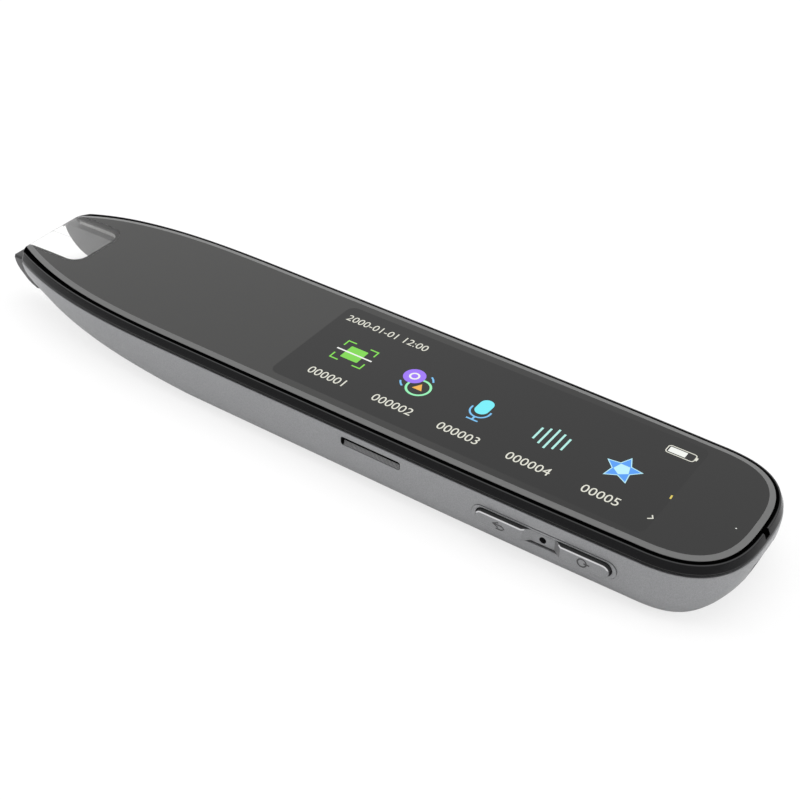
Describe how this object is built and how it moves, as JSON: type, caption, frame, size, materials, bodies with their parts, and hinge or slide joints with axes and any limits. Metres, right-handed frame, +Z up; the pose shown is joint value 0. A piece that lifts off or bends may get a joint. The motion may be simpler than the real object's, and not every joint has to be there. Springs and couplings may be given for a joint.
{
  "type": "scanning pen",
  "caption": "Flat scanning pen with a long glass screen, an open reading nose whose tip slides back, a rocker key on one flank and a charging socket in the tail.",
  "frame": {"origin": "on the flat of the underside, midway along the pen", "axes": "+X runs from the scanning nose to the tail, +Y away from the key side, +Z up through the screen"},
  "size_m": [0.1542, 0.0327, 0.0123],
  "materials": {
    "cover_glass": "clear toughened glass, printed black behind except at the window and the screen",
    "gloss_black": "glossy black moulding",
    "grey_paint": "satin grey metallic paint on a plastic moulding",
    "tip_plastic": "satin dark grey slippery plastic",
    "key_paint": "satin grey metallic paint on a black moulding",
    "display": "dark display cell that shows coloured icons",
    "backlight": "white light guide",
    "black_plastic": "dull black moulding",
    "lens_glass": "coated lens glass",
    "lamp": "pale resin over a lamp",
    "board": "green circuit board",
    "chip": "dull black chip case",
    "steel": "plain bright sheet steel",
    "screw": "plated steel",
    "battery": "silver foil pouch",
    "foam": "black foam tape",
    "mesh": "dark fine wire mesh",
    "switch": "dark switch case",
    "plunger": "pale plastic plunger",
    "antenna": "copper-coloured printed film"
  },
  "bodies": {
    "pen": {"cover_glass": "cover_glass", "bezel_frame": "gloss_black", "lower_shell": "grey_paint", "tip_switch": "switch", "scan_hood": "black_plastic", "camera_module": "black_plastic", "camera_lens": "lens_glass", "light_board": "board", "scan_lamp_key_side": "lamp", "scan_lamp_far_side": "lamp", "display_cell": "display", "backlight": "backlight", "charge_light_pipe": "lamp", "main_board": "board", "board_screw_1": "screw", "board_screw_2": "screw", "board_screw_3": "screw", "board_screw_4": "screw", "processor": "chip", "shield_can": "steel", "memory_chip": "chip", "battery": "battery", "battery_pad": "foam", "speaker": "black_plastic", "speaker_mesh": "mesh", "key_board": "board", "key_switch_front": "switch", "key_switch_rear": "switch", "key_fulcrum": "black_plastic", "microphone": "steel", "charging_socket": "steel", "socket_tongue": "black_plastic", "antenna": "antenna"},
    "tip": {"scan_tip": "tip_plastic"},
    "plunger": {"tip_plunger": "plunger"},
    "key": {"key_bar": "key_paint"}
  },
  "joints": [
    {"name": "tip_press", "type": "slide", "parent": "pen", "child": "tip", "axis": [1, 0, 0], "range_m": [0, 0.0004], "stiffness_N_per_m": 1000},
    {"name": "plunger_press", "type": "slide", "parent": "pen", "child": "plunger", "axis": [1, 0, 0], "range_m": [0, 0.0004]},
    {"name": "key_rock", "type": "hinge", "parent": "pen", "child": "key", "pos_m": [0.04727, -0.01326, 0.0061], "axis": [0, 0, 1], "range_deg": [-1.4, 1.4], "stiffness_Nm_per_rad": 0.4}
  ],
  "couplings": [
    {"joint": "plunger_press", "follows": "tip_press", "ratio": 1}
  ]
}
